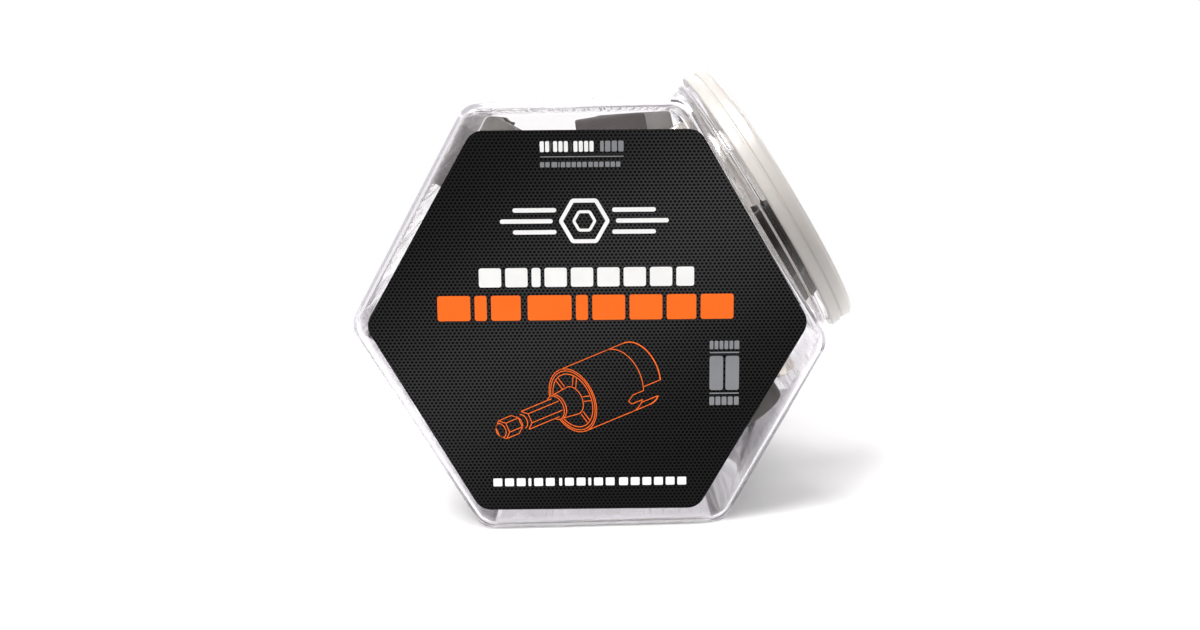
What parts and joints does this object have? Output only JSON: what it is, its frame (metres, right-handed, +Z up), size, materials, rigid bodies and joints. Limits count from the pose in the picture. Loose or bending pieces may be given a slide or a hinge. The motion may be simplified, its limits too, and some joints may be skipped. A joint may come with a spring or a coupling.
{
  "type": "string winder jar",
  "caption": "Six-sided clear counter jar with an angled round mouth and press-on lid, filled with string winders that have cupped heads and hex bit shanks.",
  "frame": {"origin": "centre of the flat that the jar stands on", "axes": "+Z up, -Y towards the printed front panel, +X towards the side that carries the mouth"},
  "size_m": [0.1471, 0.1043, 0.1284],
  "materials": {
    "clear_jar": "clear, glossy, lightly scuffed blow-moulded plastic",
    "lid": "milky translucent soft plastic, satin",
    "label": "matt printed film with a fine woven pattern",
    "barrel": "moulded nylon, fine satin texture",
    "liner_rubber": "matt soft rubber",
    "bit_steel": "satin nickel plate over hardened steel"
  },
  "bodies": {
    "jar": {"jar_body": "clear_jar", "front_label": "label", "winder_01_head": "barrel", "winder_02_head": "barrel", "winder_03_head": "barrel", "winder_04_head": "barrel", "winder_05_head": "barrel", "winder_06_head": "barrel", "winder_08_head": "barrel", "winder_09_head": "barrel", "winder_10_head": "barrel", "winder_11_head": "barrel", "winder_12_head": "barrel", "winder_13_head": "barrel", "winder_14_head": "barrel", "winder_15_head": "barrel", "winder_16_head": "barrel", "winder_17_head": "barrel", "winder_18_head": "barrel", "winder_19_head": "barrel", "winder_20_head": "barrel", "winder_21_head": "barrel", "winder_22_head": "barrel", "winder_23_head": "barrel", "winder_24_head": "barrel", "winder_01_shank": "bit_steel", "winder_02_shank": "bit_steel", "winder_03_shank": "bit_steel", "winder_04_shank": "bit_steel", "winder_05_shank": "bit_steel", "winder_06_shank": "bit_steel", "winder_08_shank": "bit_steel", "winder_09_shank": "bit_steel", "winder_10_shank": "bit_steel", "winder_11_shank": "bit_steel", "winder_12_shank": "bit_steel", "winder_13_shank": "bit_steel", "winder_14_shank": "bit_steel", "winder_15_shank": "bit_steel", "winder_16_shank": "bit_steel", "winder_17_shank": "bit_steel", "winder_18_shank": "bit_steel", "winder_19_shank": "bit_steel", "winder_20_shank": "bit_steel", "winder_21_shank": "bit_steel", "winder_22_shank": "bit_steel", "winder_23_shank": "bit_steel", "winder_24_shank": "bit_steel", "liners_layer_1": "liner_rubber", "liners_layer_2": "liner_rubber", "liners_layer_3": "liner_rubber", "liners_layer_4": "liner_rubber"},
    "lid": {"lid": "lid"},
    "drawn_winder": {"winder_07_head": "barrel", "winder_07_shank": "bit_steel", "winder_07_liner": "liner_rubber"}
  },
  "joints": [
    {"name": "lid_pull", "type": "slide", "parent": "jar", "child": "lid", "axis": [0.866, 0, 0.5], "range_m": [0, 0.15]},
    {"name": "winder_draw", "type": "slide", "parent": "jar", "child": "drawn_winder", "axis": [0.866, 0, 0.5], "range_m": [0, 0.075]}
  ],
  "couplings": [
    {"joint": "winder_draw", "follows": "lid_pull", "ratio": 0.5}
  ]
}
